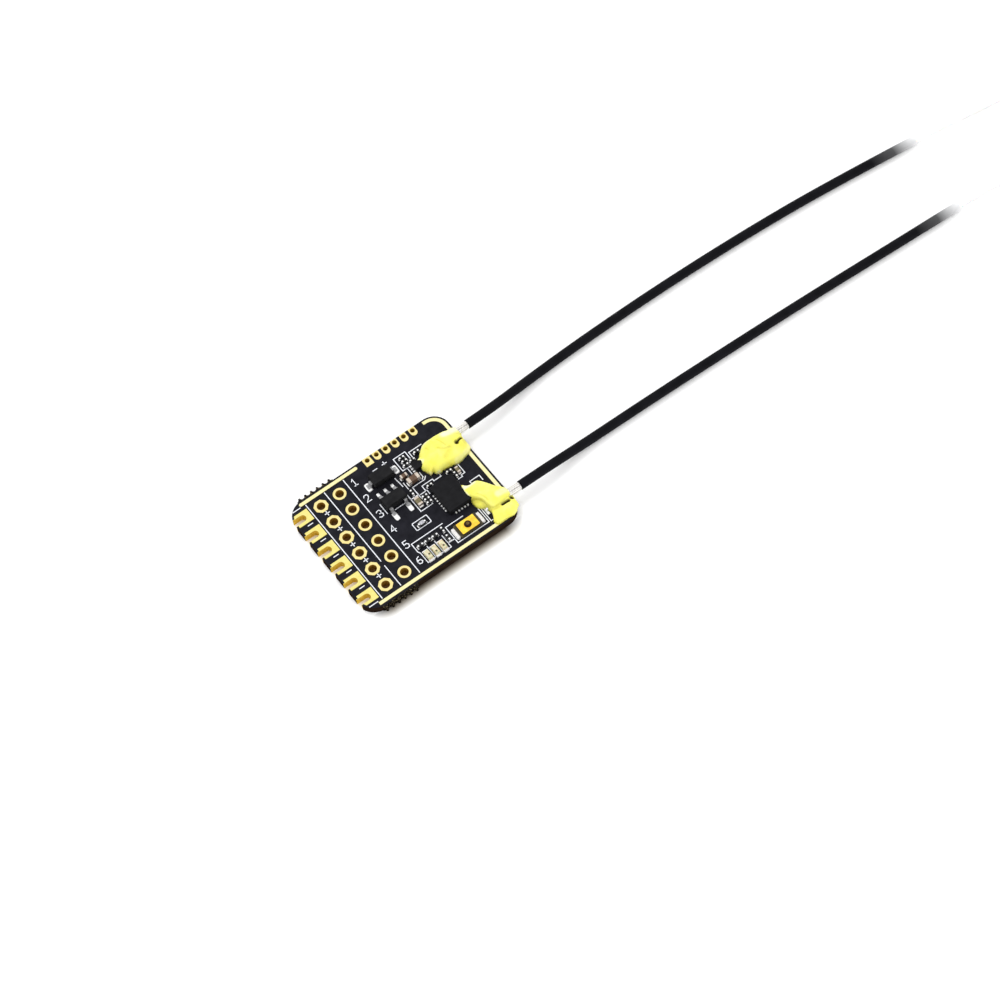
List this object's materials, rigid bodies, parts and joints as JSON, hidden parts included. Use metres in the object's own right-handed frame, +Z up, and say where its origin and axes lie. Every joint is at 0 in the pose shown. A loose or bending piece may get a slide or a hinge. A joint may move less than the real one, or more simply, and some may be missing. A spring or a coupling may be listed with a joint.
{
  "type": "rc receiver",
  "caption": "Bare receiver circuit board with plated edge slots and header holes, small chips, a push button and two free coaxial antennas held by glue.",
  "frame": {"origin": "middle of the board's underside, which lies on the table", "axes": "+X along the board towards the antennas, +Y towards the six small connector pads, +Z up out of the component side"},
  "size_m": [0.1167, 0.0189, 0.0025],
  "materials": {
    "board": "satin black solder mask over glass-fibre laminate, dark brown at the cut edge",
    "gold_plating": "thin bright gold plating over copper",
    "chip_black": "matte dark grey moulding compound",
    "mould_black": "matte black moulding compound",
    "tin_solder": "bright tin and solder",
    "cap_tin": "warm tinned end caps",
    "brown_ceramic": "matt brown ceramic",
    "tan_ceramic": "matt tan ceramic",
    "resistor_ceramic": "grey ceramic with a pale glaze on top",
    "led_board": "cream laminate",
    "led_resin": "cloudy clear resin, slightly yellow",
    "button_moulding": "olive brown heat-proof moulding",
    "button_film": "glossy amber film",
    "button_plunger": "dark brown moulded plunger",
    "spring_steel": "thin stainless spring sheet",
    "silver_braid": "woven silvered wire",
    "clear_insulation": "milky clear insulation round a thin silvered wire",
    "black_jacket": "satin black jacket",
    "yellow_glue": "pale lemon yellow set glue"
  },
  "bodies": {
    "board": {"antenna_1_braid": "silver_braid", "antenna_1_core": "clear_insulation", "antenna_1_jacket": "black_jacket", "antenna_1_tip": "clear_insulation", "antenna_2_braid": "silver_braid", "antenna_2_core": "clear_insulation", "antenna_2_jacket": "black_jacket", "antenna_2_tip": "clear_insulation", "antenna_solder": "tin_solder", "border_strips": "gold_plating", "brown_capacitor_bodies": "brown_ceramic", "button_base": "button_moulding", "button_dome": "spring_steel", "button_film": "button_film", "button_solder": "tin_solder", "button_terminals": "tin_solder", "capacitor_end_caps": "cap_tin", "chip_part_solder": "tin_solder", "circuit_board": "board", "connector_pads": "gold_plating", "diode_body": "mould_black", "diode_leads": "tin_solder", "diode_solder": "tin_solder", "glue_1": "yellow_glue", "glue_2": "yellow_glue", "led_bases": "led_board", "led_lenses": "led_resin", "led_terminals": "tin_solder", "octagon_pads": "gold_plating", "radio_chip": "chip_black", "radio_chip_leads": "tin_solder", "regulator_body": "mould_black", "regulator_leads": "tin_solder", "regulator_solder": "tin_solder", "resistor_bodies": "resistor_ceramic", "resistor_end_caps": "cap_tin", "round_pads": "gold_plating", "slot_pads": "gold_plating", "switch_chip": "chip_black", "switch_chip_leads": "tin_solder", "tan_capacitor_bodies": "tan_ceramic", "tiny_part_bodies": "tan_ceramic", "tiny_part_end_caps": "cap_tin"},
    "bind_button": {"button_plunger": "button_plunger"}
  },
  "joints": [
    {"name": "button_press", "type": "slide", "parent": "board", "child": "bind_button", "axis": [0, 0, -1], "range_m": [0, 0.00015], "stiffness_N_per_m": 8000, "deforming": ["button_dome"]}
  ]
}
